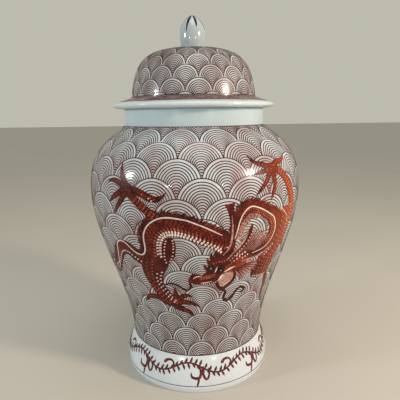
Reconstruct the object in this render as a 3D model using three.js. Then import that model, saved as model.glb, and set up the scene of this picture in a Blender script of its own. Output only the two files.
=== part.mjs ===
// Lidded porcelain temple jar of the ginger jar family: a high-shouldered jar on a flared foot,
// and a hat-shaped lid with a bud finial. Millimetres, +Z up, origin on the table under the axis.
// Every section is turned, so each one is a profile spun round the jar's axis.
import * as THREE from "three";

// ---- Driving dimensions: the jar -----------------------------------------------------------

const FOOT_FLARE = 10.1; // how far the foot stands out past the waist
const FOOT_LIP_LEVEL = 8; // height of the foot's widest part
const FOOT_TUCK = 1.9; // how far the rim on the table draws in from that widest part
const FOOT_RIM_WIDTH = 8; // width of the unglazed rim that stands on the table
const FOOT_HEIGHT = 45; // table to the line where the foot meets the body
const BASE_RECESS = 10; // how far the underside is hollowed
const BASE_THICKNESS = 8; // floor of the jar
const FLOOR_FILLET = 6; // chamfer between the jar's floor and its wall
const WAIST_RADIUS = 87.6; // narrowest part of the body, on the foot line
const BELLY_RADIUS = 134.3; // widest part of the body
const BELLY_LEVEL = 243; // height of that widest part, where the two halves are luted
const SHOULDER_RISE = 79.5; // belly level to the root of the neck
const NECK_RADIUS = 88.6; // outside of the straight neck
const NECK_HEIGHT = 19.5; // root of the neck to its rim
const BODY_WALL = 6; // wall of the foot and the body
const NECK_WALL = 6; // wall of the neck

// ---- Driving dimensions: the lid -----------------------------------------------------------

const BRIM_OVERHANG = 12.8; // how far the brim's tip stands out past the neck
const BRIM_EDGE = 5.6; // thickness of the rolled edge at the tip
const BRIM_LIFT = 1.5; // how far the underside rises from the neck to the rolled edge
const BRIM_RISE = 14; // seat on the neck to the foot of the dome
const DOME_SETBACK = 10.2; // how far the foot of the dome stands in from the neck's outside
const DOME_HEIGHT = 58.5; // foot of the dome to the seat of the finial
const DOME_WALL = 5; // wall of the dome
const TONGUE_CLEARANCE = 2; // gap all round between the locating ring and the neck
const TONGUE_DEPTH = 14; // how far the locating ring reaches into the neck
const TONGUE_WALL = 5; // wall of the locating ring
const FINIAL_RADIUS = 16.3; // widest part of the bud
const FINIAL_SEAT_RADIUS = 14; // where the bud stands on the dome
const FINIAL_SWELL = 16.5; // seat to the widest part of the bud
const FINIAL_HEIGHT = 40.5; // seat to the tip of the bud

// ---- How full the curves are, as shares of the curve's own height or width -----------------

const FOOT_FULLNESS = 0.4;
const BODY_FULLNESS = 0.3;
const SHOULDER_FULLNESS = 0.54;
const SHOULDER_SPREAD = 0.68;
const SHOULDER_DROP = 0.29;
const DOME_LEAN = 0.07;
const DOME_FULLNESS = 0.72;
const DOME_SPREAD = 0.8;
const BUD_FULLNESS = 0.4;
const BUD_POINT = 0.52;

const SIDES = 48; // facets round the axis
const CURVE_STEPS = 8; // steps along each curved outline

// ---- Levels and radii that follow from them ------------------------------------------------

const NECK_ROOT = BELLY_LEVEL + SHOULDER_RISE;
const NECK_RIM = NECK_ROOT + NECK_HEIGHT;
const DOME_FOOT = NECK_RIM + BRIM_RISE;
const FINIAL_SEAT = DOME_FOOT + DOME_HEIGHT;
const FOOT_RADIUS = WAIST_RADIUS + FOOT_FLARE;
const BRIM_RADIUS = NECK_RADIUS + BRIM_OVERHANG;
const DOME_RADIUS = NECK_RADIUS - DOME_SETBACK;
const TONGUE_RADIUS = NECK_RADIUS - NECK_WALL - TONGUE_CLEARANCE;

// ---- Outlines ------------------------------------------------------------------------------

const point = (radius, level) => new THREE.Vector2(radius, level);

// Points along a curve between two ends, steered by two handles.
function curve(start, startHandle, endHandle, end) {
  return new THREE.CubicBezierCurve(start, startHandle, endHandle, end).getPoints(CURVE_STEPS);
}

// A value part of the way from one to another.
const between = (from, to, share) => from + (to - from) * share;

// The inside of a wall: the outline moved in by the wall's thickness, square to the surface.
// Its two ends move level, so that a section still ends on flat faces.
function insideOf(outline, wall) {
  return outline.map((here, i) => {
    const before = outline[i - 1];
    const after = outline[i + 1];
    if (!before || !after) {
      return point(here.x - wall, here.y);
    }
    const along = after.clone().sub(before).normalize();
    return point(here.x - along.y * wall, here.y + along.x * wall);
  });
}

// A closed ring profile: up the outside and back down the inside.
function wallSection(outline, wall) {
  return [...outline, ...insideOf(outline, wall).reverse(), outline[0]];
}

// Spins a profile round the jar's upright axis.
function turned(profile) {
  return new THREE.LatheGeometry(profile, SIDES).rotateX(Math.PI / 2);
}

// ---- The jar's sections --------------------------------------------------------------------

function footProfile() {
  const flare = curve(
    point(FOOT_RADIUS, FOOT_LIP_LEVEL),
    point(FOOT_RADIUS, between(FOOT_LIP_LEVEL, FOOT_HEIGHT, FOOT_FULLNESS)),
    point(between(WAIST_RADIUS, FOOT_RADIUS, 0.5), between(FOOT_HEIGHT, FOOT_LIP_LEVEL, 0.25)),
    point(WAIST_RADIUS, FOOT_HEIGHT),
  );
  const rimOutside = FOOT_RADIUS - FOOT_TUCK;
  const rimInside = rimOutside - FOOT_RIM_WIDTH;
  const floorLevel = BASE_RECESS + BASE_THICKNESS;
  const hollowRadius = WAIST_RADIUS - BODY_WALL;
  return [
    point(0, BASE_RECESS),
    point(rimInside - FOOT_RIM_WIDTH / 2, BASE_RECESS),
    point(rimInside, 0),
    point(rimOutside, 0),
    ...flare,
    point(hollowRadius, FOOT_HEIGHT),
    point(hollowRadius, floorLevel + FLOOR_FILLET),
    point(hollowRadius - FLOOR_FILLET, floorLevel),
    point(0, floorLevel),
  ];
}

function lowerBodyProfile() {
  const outline = curve(
    point(WAIST_RADIUS, FOOT_HEIGHT),
    point(WAIST_RADIUS, between(FOOT_HEIGHT, BELLY_LEVEL, BODY_FULLNESS)),
    point(BELLY_RADIUS, between(BELLY_LEVEL, FOOT_HEIGHT, BODY_FULLNESS)),
    point(BELLY_RADIUS, BELLY_LEVEL),
  );
  return wallSection(outline, BODY_WALL);
}

function upperBodyProfile() {
  const shoulderRadius = between(NECK_RADIUS, BELLY_RADIUS, SHOULDER_SPREAD);
  const outline = curve(
    point(BELLY_RADIUS, BELLY_LEVEL),
    point(BELLY_RADIUS, between(BELLY_LEVEL, NECK_ROOT, SHOULDER_FULLNESS)),
    point(shoulderRadius, between(NECK_ROOT, BELLY_LEVEL, SHOULDER_DROP)),
    point(NECK_RADIUS, NECK_ROOT),
  );
  return wallSection(outline, BODY_WALL);
}

function neckProfile() {
  return wallSection([point(NECK_RADIUS, NECK_ROOT), point(NECK_RADIUS, NECK_RIM)], NECK_WALL);
}

// ---- The lid's sections --------------------------------------------------------------------

function brimProfile() {
  const edgeBottom = NECK_RIM + BRIM_LIFT;
  const edgeTop = edgeBottom + BRIM_EDGE;
  const edgeMiddle = edgeBottom + BRIM_EDGE / 2;
  const bore = TONGUE_RADIUS - TONGUE_WALL;
  return [
    point(bore, NECK_RIM),
    point(NECK_RADIUS, NECK_RIM),
    point(BRIM_RADIUS - BRIM_EDGE * 0.4, edgeBottom),
    point(BRIM_RADIUS - BRIM_EDGE * 0.1, between(edgeBottom, edgeMiddle, 0.5)),
    point(BRIM_RADIUS, edgeMiddle),
    point(BRIM_RADIUS - BRIM_EDGE * 0.1, between(edgeTop, edgeMiddle, 0.5)),
    point(BRIM_RADIUS - BRIM_EDGE * 0.5, edgeTop),
    point(DOME_RADIUS, DOME_FOOT),
    point(DOME_RADIUS - DOME_WALL, DOME_FOOT),
    point(bore, NECK_RIM),
  ];
}

function locatingRingProfile() {
  const outline = [
    point(TONGUE_RADIUS, NECK_RIM - TONGUE_DEPTH),
    point(TONGUE_RADIUS, NECK_RIM),
  ];
  return wallSection(outline, TONGUE_WALL);
}

function domeProfile() {
  const crownRadius = between(0, DOME_RADIUS, DOME_SPREAD);
  const outline = curve(
    point(DOME_RADIUS, DOME_FOOT),
    point(DOME_RADIUS * (1 - DOME_LEAN), between(DOME_FOOT, FINIAL_SEAT, DOME_FULLNESS)),
    point(crownRadius, FINIAL_SEAT),
    point(FINIAL_SEAT_RADIUS, FINIAL_SEAT),
  );
  const inside = insideOf(outline, DOME_WALL).slice(0, -1).reverse();
  const ceiling = point(0, FINIAL_SEAT - DOME_WALL);
  return [ceiling, ...inside, ...outline, point(0, FINIAL_SEAT)];
}

function finialProfile() {
  const swellLevel = FINIAL_SEAT + FINIAL_SWELL;
  const tipLevel = FINIAL_SEAT + FINIAL_HEIGHT;
  const lower = curve(
    point(FINIAL_SEAT_RADIUS, FINIAL_SEAT),
    point(between(FINIAL_SEAT_RADIUS, FINIAL_RADIUS, 0.6), between(FINIAL_SEAT, swellLevel, 0.3)),
    point(FINIAL_RADIUS, between(swellLevel, FINIAL_SEAT, BUD_FULLNESS)),
    point(FINIAL_RADIUS, swellLevel),
  );
  const upper = curve(
    point(FINIAL_RADIUS, swellLevel),
    point(FINIAL_RADIUS, between(swellLevel, tipLevel, BUD_FULLNESS)),
    point(FINIAL_RADIUS * BUD_POINT, between(tipLevel, swellLevel, 0.12)),
    point(0, tipLevel),
  );
  return [point(0, FINIAL_SEAT), ...lower, ...upper.slice(1)];
}

// ---- Glazes --------------------------------------------------------------------------------

const glaze = (color, roughness) =>
  new THREE.MeshStandardMaterial({ color, roughness, metalness: 0 });

// ---- The assembled jar ---------------------------------------------------------------------

const sections = [
  ["jar_foot", footProfile(), glaze(0xe4e9e6, 0.12)],
  ["jar_lower_body", lowerBodyProfile(), glaze(0xb9a9a6, 0.15)],
  ["jar_upper_body", upperBodyProfile(), glaze(0xc3b5b1, 0.15)],
  ["jar_neck", neckProfile(), glaze(0xccd9d8, 0.1)],
  ["lid_brim", brimProfile(), glaze(0xd8e0dd, 0.1)],
  ["lid_locating_ring", locatingRingProfile(), glaze(0xdcd3c4, 0.7)],
  ["lid_dome", domeProfile(), glaze(0xb7a3a2, 0.15)],
  ["finial", finialProfile(), glaze(0xd3dcdc, 0.1)],
];

const jar = new THREE.Group();
for (const [name, profile, material] of sections) {
  const mesh = new THREE.Mesh(turned(profile), material);
  mesh.name = name;
  jar.add(mesh);
}

export default jar;
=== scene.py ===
"""A lidded ginger jar: spun walls, with waves, vine and dragon lying on the glaze as thin enamel."""

import bisect
import math
import random

import bmesh
import bpy
from mathutils import Matrix, Vector
from mathutils.geometry import interpolate_bezier


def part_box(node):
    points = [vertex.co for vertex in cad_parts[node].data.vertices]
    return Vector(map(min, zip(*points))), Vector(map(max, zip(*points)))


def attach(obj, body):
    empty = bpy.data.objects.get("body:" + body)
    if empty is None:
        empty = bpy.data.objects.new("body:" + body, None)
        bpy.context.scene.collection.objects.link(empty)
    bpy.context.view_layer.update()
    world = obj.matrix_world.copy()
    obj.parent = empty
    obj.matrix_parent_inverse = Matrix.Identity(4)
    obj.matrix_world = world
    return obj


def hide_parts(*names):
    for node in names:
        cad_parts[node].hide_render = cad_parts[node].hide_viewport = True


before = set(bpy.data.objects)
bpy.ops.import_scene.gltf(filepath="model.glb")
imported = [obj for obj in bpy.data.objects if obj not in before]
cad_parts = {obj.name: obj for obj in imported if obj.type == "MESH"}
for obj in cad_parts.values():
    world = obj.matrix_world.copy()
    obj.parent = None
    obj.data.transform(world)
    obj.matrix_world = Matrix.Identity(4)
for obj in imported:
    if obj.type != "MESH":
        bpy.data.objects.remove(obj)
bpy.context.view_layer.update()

MM = 0.001
random.seed(7)


# ---------------------------------------------------------------- sizes, in millimetres
def reach(node):
    """A turned node's radius, and its lowest and highest level."""
    low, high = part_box(node)
    return high.x / MM, low.z / MM, high.z / MM


def between(start, end, share):
    return start + (end - start) * share


foot_radius, _, waist = reach("jar_foot")
belly_radius, _, belly = reach("jar_lower_body")
neck_radius, neck_root, neck_rim = reach("jar_neck")
brim_radius, brim_seat, dome_foot = reach("lid_brim")
dome_radius, _, crown = reach("lid_dome")
ring_radius, ring_end, _ = reach("lid_locating_ring")
bud_radius, bud_seat, bud_tip = reach("finial")

FOOT_LIP = 8
RIM_OUTSIDE = 95.8
RIM_INSIDE = 87.8
RIM_SOFT = 1
RECESS = 10
RECESS_SLOPE = 1.5
FLOOR = 18
FLOOR_FILLET = 6
WAIST_RADIUS = 87.6
WALL = 6
WAIST_BORE = WAIST_RADIUS - WALL
NECK_BORE = neck_radius - WALL
NECK_SOFT = 1.6
RING_BORE = ring_radius - 5
RING_SOFT = 1.2
BRIM_BORE = 75.6
BRIM_SEAT_EDGE = neck_radius + 0.5
DOME_WALL = 5
DOME_BORE = dome_radius - DOME_WALL
CEILING = crown - DOME_WALL
BUD_SEAT_RADIUS = 14
BUD_WIDEST = bud_seat + 16.5

RIM_ROLL = ((RIM_OUTSIDE - RIM_SOFT, 0), (RIM_OUTSIDE - 0.4, 0), (RIM_OUTSIDE + 0.1, 0.5),
            (RIM_OUTSIDE + 0.3, 1.2))
FOOT_LIP_ROLL = (RIM_ROLL[-1], (foot_radius - 0.3, 5.2), (foot_radius, 6.4), (foot_radius, FOOT_LIP))
FOOT_FLARE = ((foot_radius, FOOT_LIP), (foot_radius, between(FOOT_LIP, waist, 0.4)),
              (between(WAIST_RADIUS, foot_radius, 0.5), between(waist, FOOT_LIP, 0.25)),
              (WAIST_RADIUS, waist))
LOWER_BODY = ((WAIST_RADIUS, waist), (WAIST_RADIUS, between(waist, belly, 0.3)),
              (belly_radius, between(belly, waist, 0.3)), (belly_radius, belly))
UPPER_BODY = ((belly_radius, belly), (belly_radius, between(belly, neck_root, 0.54)),
              (between(neck_radius, belly_radius, 0.68), between(neck_root, belly, 0.29)),
              (neck_radius, neck_root))
DOME = ((dome_radius, dome_foot), (dome_radius * 0.93, between(dome_foot, crown, 0.72)),
        (dome_radius * 0.8, crown), (BUD_SEAT_RADIUS, crown))
DOME_HOLLOW = ((0, CEILING), (dome_radius * 0.76, CEILING),
               (DOME_BORE * 0.94, between(dome_foot, CEILING, 0.7)), (DOME_BORE, dome_foot))
BUD_LOWER = ((BUD_SEAT_RADIUS, bud_seat),
             (between(BUD_SEAT_RADIUS, bud_radius, 0.6), between(bud_seat, BUD_WIDEST, 0.3)),
             (bud_radius, between(BUD_WIDEST, bud_seat, 0.4)), (bud_radius, BUD_WIDEST))
BUD_UPPER = ((bud_radius, BUD_WIDEST), (bud_radius, between(BUD_WIDEST, bud_tip, 0.4)),
             (bud_radius * 0.52, between(bud_tip, BUD_WIDEST, 0.12)), (0, bud_tip))
BRIM_TIP = (brim_radius, 346.3)
BRIM_TOP_EDGE = (98.6, 349.1)
BRIM_UNDER_EDGE = (99.16, 343.5)
BRIM_ROLL_LOW = (BRIM_UNDER_EDGE, (100.6, 343.8), (brim_radius, 344.9), BRIM_TIP)
BRIM_ROLL_HIGH = (BRIM_TIP, (brim_radius, 347.9), (100.1, 348.6), BRIM_TOP_EDGE)


# ---------------------------------------------------------------- camera, light and floor, in metres
SENSOR = 36
LENS = 37.26
NEAREST_SEEN = 0.01
CAMERA_PLACE = (0, -0.5454, 0.3360)
CAMERA_TURN = -0.0118
CAMERA_TILT_DOWN = 0.2058
CAMERA_ROLL = -0.0135

COOL = (0.94, 0.98, 1.0)
WARM = (1.0, 0.80, 0.64)
NEUTRAL = (1.0, 1.0, 1.0)
JAR_MIDDLE = (0, 0, 0.24)
SHOULDER_FRONT = (0, -0.1, 0.265)
# Each lamp's name, place, width and height, power and colour, and where it shines.
LAMPS = (
    ("left_lamp", (-1.25, -0.44, 0.64), (0.18, 0.22), 4.5, COOL, JAR_MIDDLE),
    ("right_lamp", (1.10, -0.64, 0.72), (0.17, 0.17), 13.5, WARM, JAR_MIDDLE),
    ("overhead", (0.1, -0.2, 1.6), (0.8, 0.8), 3.5, COOL, JAR_MIDDLE),
    ("cornice_light", (-0.53, -1.12, 0.43), (0.13, 0.02), 0.6, NEUTRAL, SHOULDER_FRONT),
    ("cornice_light", (0.53, -1.12, 0.43), (0.13, 0.02), 0.6, NEUTRAL, SHOULDER_FRONT),
)
FLOOR_HALF_WIDTH = 12.0


def aim(location, target):
    """The matrix of a lamp that stands at location and shines at target."""
    direction = Vector(target) - Vector(location)
    return Matrix.Translation(location) @ direction.to_track_quat("-Z", "Y").to_matrix().to_4x4()


def soft_lamp(name, location, size, power, colour, target):
    """A lamp with a lit rectangle of the given width and height."""
    lamp = bpy.data.lights.new(name, "AREA")
    lamp.shape = "RECTANGLE"
    lamp.size = size[0]
    lamp.size_y = size[1]
    lamp.energy = power
    lamp.color = colour
    holder = bpy.data.objects.new(name, lamp)
    holder.matrix_world = aim(location, target)
    bpy.context.scene.collection.objects.link(holder)
    return holder


def set_up_camera():
    camera = bpy.data.cameras.new("camera")
    camera.sensor_width = SENSOR
    camera.lens = LENS
    camera.clip_start = NEAREST_SEEN
    holder = bpy.data.objects.new("camera", camera)
    turn = Matrix.Rotation(CAMERA_TURN, 4, "Z")
    tilt = Matrix.Rotation(math.pi / 2 - CAMERA_TILT_DOWN, 4, "X")
    roll = Matrix.Rotation(CAMERA_ROLL, 4, "Z")
    holder.matrix_world = Matrix.Translation(CAMERA_PLACE) @ turn @ tilt @ roll
    bpy.context.scene.collection.objects.link(holder)
    bpy.context.scene.camera = holder


def new_tree(name):
    material = bpy.data.materials.new(name)
    material.use_nodes = True
    material.node_tree.nodes.clear()
    return material, material.node_tree


def add(tree, kind, settings=None, **sockets):
    """A new node. Settings are its own properties; sockets are its inputs, each a value or an output to link.

    An input goes by its own name with _ for a space, or by i and its number.
    """
    node = tree.nodes.new("ShaderNode" + kind)
    for key, value in (settings or {}).items():
        setattr(node, key, value)
    for key, value in sockets.items():
        numbered = key[0] == "i" and key[1:].isdigit()
        socket = node.inputs[int(key[1:]) if numbered else key.replace("_", " ")]
        if isinstance(value, bpy.types.NodeSocket):
            tree.links.new(value, socket)
        else:
            socket.default_value = value
    return node


def maths(tree, operation, *values, clamp=False):
    sockets = {f"i{place}": value for place, value in enumerate(values)}
    return add(tree, "Math", {"operation": operation, "use_clamp": clamp}, **sockets).outputs[0]


def times(tree, first, second, clamp=False):
    return maths(tree, "MULTIPLY", first, second, clamp=clamp)


def noise(tree, where, scale, detail, **more):
    """Cloudy noise, as a value from 0 to 1."""
    return add(tree, "TexNoise", None, Vector=where, Scale=scale, Detail=detail, **more).outputs[0]


def blend(tree, share, first, second):
    """Colour first where share is 0, second where it is 1."""
    node = add(tree, "Mix", {"data_type": "RGBA"}, i0=share, i6=first, i7=second)
    return node.outputs[2]


def ramp(tree, value, *stops):
    """A colour ramp; each stop is a place and a colour or a grey."""
    node = add(tree, "ValToRGB", None, i0=value)
    elements = node.color_ramp.elements
    while len(elements) < len(stops):
        elements.new(0.5)
    for element, (place, colour) in zip(elements, stops):
        element.position = place
        element.color = colour if hasattr(colour, "__len__") else (colour, colour, colour, 1)
    return node.outputs[0]


def rgb(red, green, blue):
    """A colour given as it is seen, turned into the linear one that shaders take."""
    seen = [part / 255 for part in (red, green, blue)]
    linear = [((part + 0.055) / 1.055) ** 2.4 if part > 0.04045 else part / 12.92 for part in seen]
    return (*linear, 1)


def lay_floor():
    material, tree = new_tree("pale_floor")
    where = add(tree, "TexCoord").outputs["Object"]
    cloud = noise(tree, where, 3.0, 3.0)
    colour = blend(tree, cloud, rgb(190, 185, 177), rgb(200, 196, 189))
    shader = add(tree, "BsdfPrincipled", None, Base_Color=colour, Roughness=0.75)
    add(tree, "OutputMaterial", None, Surface=shader.outputs[0])
    ground = bmesh.new()
    bmesh.ops.create_grid(ground, x_segments=8, y_segments=8, size=FLOOR_HALF_WIDTH)
    mesh = bpy.data.meshes.new("floor")
    ground.to_mesh(mesh)
    ground.free()
    floor = bpy.data.objects.new("floor", mesh)
    mesh.materials.append(material)
    bpy.context.scene.collection.objects.link(floor)


def light_studio():
    bpy.context.scene.view_settings.view_transform = "Standard"
    world = bpy.data.worlds.new("studio")
    bpy.context.scene.world = world
    world.use_nodes = True
    background = world.node_tree.nodes["Background"]
    background.inputs[0].default_value = rgb(190, 189, 176)
    background.inputs[1].default_value = 0.98
    for lamp in LAMPS:
        soft_lamp(*lamp)


# ---------------------------------------------------------------- glaze and enamel
def group(name, inputs, outputs):
    """An empty node group, with its input and output nodes."""
    tree = bpy.data.node_groups.new(name, "ShaderNodeTree")
    for label, kind, value in inputs:
        socket = tree.interface.new_socket(label, in_out="INPUT", socket_type="NodeSocket" + kind)
        if value is not None:
            socket.default_value = value
    for label, kind in outputs:
        tree.interface.new_socket(label, in_out="OUTPUT", socket_type="NodeSocket" + kind)
    return tree, tree.nodes.new("NodeGroupInput"), tree.nodes.new("NodeGroupOutput")


def put_out(tree, put, *values):
    """A group's own outputs, in order. Returns the finished group."""
    for place, value in enumerate(values):
        tree.links.new(value, put.inputs[place])
    return tree


def make_glaze_film():
    """How a clear glaze lies: faint clouds where it pooled, tiny pinholes, and a slow ripple."""
    tree, given, put = group("glaze_film", [("Size", "Float", 1.0)],
                             [("Pooling", "Float"), ("Pinholes", "Float"), ("Ripple", "Float")])
    where, size = add(tree, "TexCoord").outputs["Object"], given.outputs[0]
    cloud = noise(tree, where, times(tree, size, 14.0), 4.0, Roughness=0.6)
    specks = add(tree, "TexVoronoi", None, Vector=where, Scale=times(tree, size, 420.0)).outputs["Distance"]
    ripple = noise(tree, where, times(tree, size, 45.0), 2.0)
    return put_out(tree, put, cloud, maths(tree, "LESS_THAN", specks, 0.035), ripple)


def make_brush_film():
    """How brushed enamel lies: streaks, thick and thin places, and a fine grain."""
    tree, given, put = group("brush_film", [("Size", "Float", 1.0)],
                             [("Streak", "Float"), ("Thickness", "Float"), ("Grain", "Float")])
    where, size = add(tree, "TexCoord").outputs["Object"], given.outputs[0]
    streak = noise(tree, where, times(tree, size, 520.0), 3.0, Roughness=0.65, Distortion=0.6)
    thickness = noise(tree, where, times(tree, size, 95.0), 3.0)
    grain = noise(tree, where, times(tree, size, 1900.0), 2.0)
    return put_out(tree, put, streak, thickness, grain)


def make_wave_wash():
    """Where the brown-red wash lies under the waves: in every fan's tail, between the two fans below it."""
    takes = [("Turn", "Float", 0.0), ("Row", "Float", 0.0), ("Spread", "Float", 1.0)]
    tree, given, put = group("wave_wash", takes, [("Tail", "Float")])
    turn, row, spread = given.outputs[:3]
    tails = []
    for odd in (0, 1):
        half = times(tree, maths(tree, "SUBTRACT", row, float(odd)), 0.5)
        below = times(tree, maths(tree, "SUBTRACT", maths(tree, "CEIL", half), half), 2.0)
        column = maths(tree, "ADD", turn, 1.0 - 0.5 * odd)
        aside = maths(tree, "ABSOLUTE", maths(tree, "SUBTRACT", maths(tree, "FRACT", column), 0.5))
        across = times(tree, times(tree, aside, spread), 2.0)
        up = maths(tree, "SUBTRACT", maths(tree, "ADD", spread, 1.0), below)
        apart = maths(tree, "SQRT", maths(tree, "ADD", times(tree, across, across), times(tree, up, up)))
        clear = times(tree, maths(tree, "SUBTRACT", apart, spread), 14.0, clamp=True)
        low = times(tree, maths(tree, "SUBTRACT", below, 0.95), 1.35, clamp=True)
        tails.append(times(tree, clear, low))
    return put_out(tree, put, maths(tree, "MAXIMUM", *tails))


glaze_film = make_glaze_film()
brush_film = make_brush_film()
wave_wash = make_wave_wash()


def use(tree, nodes, **sockets):
    """A node group placed in a material."""
    return add(tree, "Group", {"node_tree": nodes}, **sockets)


def stain(tree, colour, wash):
    """Brown-red wash over a colour. Wash holds the row height, its colour, its least share and the tint."""
    flat = add(tree, "SeparateXYZ", None, i0=add(tree, "UVMap", {"uv_map": "rows"}).outputs[0])
    where = add(tree, "TexCoord").outputs["Object"]
    solid = add(tree, "SeparateXYZ", None, i0=where)
    squares = [times(tree, solid.outputs[i], solid.outputs[i]) for i in (0, 1)]
    radius = maths(tree, "SQRT", maths(tree, "ADD", *squares))
    spread = times(tree, radius, math.radians(HALF_PITCH) / (wash["row"] * MM))
    tail = use(tree, wave_wash, Turn=flat.outputs[0], Row=flat.outputs[1], Spread=spread).outputs[0]
    uneven = noise(tree, where, 34.0, 2.0)
    streaks = noise(tree, where, 260.0, 3.0, Distortion=0.8)
    amount = times(tree, ramp(tree, uneven, (0.3, wash["least"]), (0.62, 1.0)),
                   ramp(tree, streaks, (0.3, 0.55), (0.7, 1.0)))
    tint = times(tree, ramp(tree, uneven, (0.35, 0.0), (0.7, 1.0)), wash["tint"])
    outside = add(tree, "Attribute", {"attribute_name": "painted"}).outputs["Fac"]
    stained = times(tree, maths(tree, "MAXIMUM", times(tree, tail, amount), tint), outside)
    return blend(tree, stained, colour, wash["colour"])


def glaze(name, light, dark, roughness=0.14, wash=None, size=1.0):
    """Clear glossy glaze over a white body, with the waves' wash under it if one is given."""
    material, tree = new_tree(name)
    film = use(tree, glaze_film, Size=size)
    colour = blend(tree, ramp(tree, film.outputs["Pooling"], (0.35, 0.0), (0.75, 1.0)), light, dark)
    if wash:
        colour = stain(tree, colour, wash)
    colour = blend(tree, film.outputs["Pinholes"], colour, rgb(120, 105, 95))
    bump = add(tree, "Bump", None, Strength=0.06, Distance=0.002, Height=film.outputs["Ripple"]).outputs[0]
    rough = ramp(tree, film.outputs["Pooling"], (0.3, roughness), (0.8, roughness + 0.06))
    shader = add(tree, "BsdfPrincipled", None, Base_Color=colour, Roughness=rough, IOR=1.5, Coat_Weight=0.6,
                 Coat_Roughness=0.03, Normal=bump)
    add(tree, "OutputMaterial", None, Surface=shader.outputs[0])
    return material


# How far right of the axis, in metres, the painted warm light begins, and where it reaches its most.
PAINTED_LIGHT_START = 0.07
PAINTED_LIGHT_END = 0.124


def enamel(name, dark, middle, light, roughness=0.25, size=1.0, painted_warm_light=None):
    """Brushed overglaze enamel. Towards the jar's right side it turns to one more colour, if one is given:
    painted warm light, where the warm right lamp falls.
    """
    material, tree = new_tree(name)
    film = use(tree, brush_film, Size=size)
    worn = maths(tree, "ADD", times(tree, film.outputs["Streak"], 0.6),
                 times(tree, film.outputs["Thickness"], 0.4))
    colour = ramp(tree, worn, (0.38, dark), (0.5, middle), (0.66, light))
    if painted_warm_light:
        # Painted warm light: a gradient across the jar, from left to right, into the warm colour.
        solid = add(tree, "SeparateXYZ", None, i0=add(tree, "TexCoord").outputs["Object"])
        right = add(tree, "MapRange", None, i0=solid.outputs[0], i1=PAINTED_LIGHT_START, i2=PAINTED_LIGHT_END, i3=0.0, i4=0.68)
        colour = blend(tree, right.outputs[0], colour, painted_warm_light)
    bump = add(tree, "Bump", None, Strength=0.25, Distance=0.0004, Height=film.outputs["Grain"]).outputs[0]
    rough = ramp(tree, film.outputs["Thickness"], (0.3, roughness), (0.7, roughness + 0.12))
    shader = add(tree, "BsdfPrincipled", None, Base_Color=colour, Roughness=rough, IOR=1.32, Normal=bump)
    add(tree, "OutputMaterial", None, Surface=shader.outputs[0])
    return material


# ---------------------------------------------------------------- turned walls
SIDES = 288
WEDGES = 16
BEND_STEPS = 48
WELD = 0.001
FLATTEST_KEPT = math.radians(0.2)


def face_outward(shape):
    """Turns each separate closed part of a bmesh right side out."""
    bmesh.ops.recalc_face_normals(shape, faces=shape.faces)
    waiting = set(shape.faces)
    while waiting:
        part = [waiting.pop()]
        for face in part:
            for near in [other for edge in face.edges for other in edge.link_faces]:
                if near in waiting:
                    waiting.remove(near)
                    part.append(near)
        start = part[0].verts[0].co.copy()
        volume = 0.0
        for face in part:
            corners = [vert.co - start for vert in face.verts]
            for second, third in zip(corners[1:], corners[2:]):
                volume += corners[0].dot(second.cross(third))
        if volume < 0:
            bmesh.ops.reverse_faces(shape, faces=part)


def repeat_round(shape, times):
    """Copies of what a bmesh holds, evenly spaced round the axis."""
    geometry = shape.verts[:] + shape.edges[:] + shape.faces[:]
    bmesh.ops.spin(shape, geom=geometry, axis=(0, 0, 1), cent=(0, 0, 0), use_duplicate=True,
                   angle=math.tau * (times - 1) / times, steps=times - 1)


def as_curve(name, bends, closed):
    """An outline of straight and curved bends as a Bézier curve's mesh: points joined by edges."""
    curve = bpy.data.curves.new(name, "CURVE")
    curve.dimensions = "3D"
    curve.resolution_u = BEND_STEPS
    spline = curve.splines.new("BEZIER")
    spline.bezier_points.add(len(bends) - 1 + (0 if closed else 1))
    knots = spline.bezier_points
    spline.use_cyclic_u = closed
    for place, bend in enumerate(bends):
        start, end = Vector((bend[0][0], 0, bend[0][1])), Vector((bend[-1][0], 0, bend[-1][1]))
        if len(bend) == 2:
            leave, arrive = start.lerp(end, 1 / 3), start.lerp(end, 2 / 3)
        else:
            leave, arrive = (Vector((point[0], 0, point[1])) for point in bend[1:3])
        here, following = knots[place], knots[(place + 1) % len(knots)]
        for knot in (here, following):
            knot.handle_left_type = knot.handle_right_type = "FREE"
        here.co = start
        here.handle_right = leave
        following.co = end
        following.handle_left = arrive
    holder = bpy.data.objects.new(name, curve)
    mesh = bpy.data.meshes.new_from_object(holder)
    bpy.data.objects.remove(holder)
    return mesh


def finish_piece(name, shape, material, body, nodes=(), sharp=35):
    """A bmesh in millimetres becomes a piece in metres that rides on its body."""
    bmesh.ops.scale(shape, vec=(MM, MM, MM), verts=shape.verts)
    mesh = bpy.data.meshes.new(name)
    shape.to_mesh(mesh)
    shape.free()
    mesh.shade_smooth()
    mesh.set_sharp_from_angle(angle=math.radians(sharp))
    mesh.materials.append(material)
    piece = bpy.data.objects.new(name, mesh)
    bpy.context.scene.collection.objects.link(piece)
    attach(piece, body)
    for replaced in nodes:
        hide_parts(replaced)
    return piece


def turned(name, bends, closed=True):
    """A closed outline, or one that starts and ends on the axis, spun into a solid."""
    shape = bmesh.new()
    shape.from_mesh(as_curve(name, bends, closed))
    bmesh.ops.remove_doubles(shape, verts=shape.verts, dist=WELD)
    bmesh.ops.dissolve_limit(shape, angle_limit=FLATTEST_KEPT, verts=shape.verts, edges=shape.edges)
    bmesh.ops.spin(shape, geom=shape.verts[:] + shape.edges[:], axis=(0, 0, 1), cent=(0, 0, 0),
                   angle=math.tau / WEDGES, steps=SIDES // WEDGES)
    repeat_round(shape, WEDGES)
    bmesh.ops.remove_doubles(shape, verts=shape.verts, dist=WELD)
    bmesh.ops.dissolve_degenerate(shape, edges=shape.edges, dist=WELD / 2)
    bmesh.ops.recalc_face_normals(shape, faces=shape.faces)
    return shape


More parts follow.
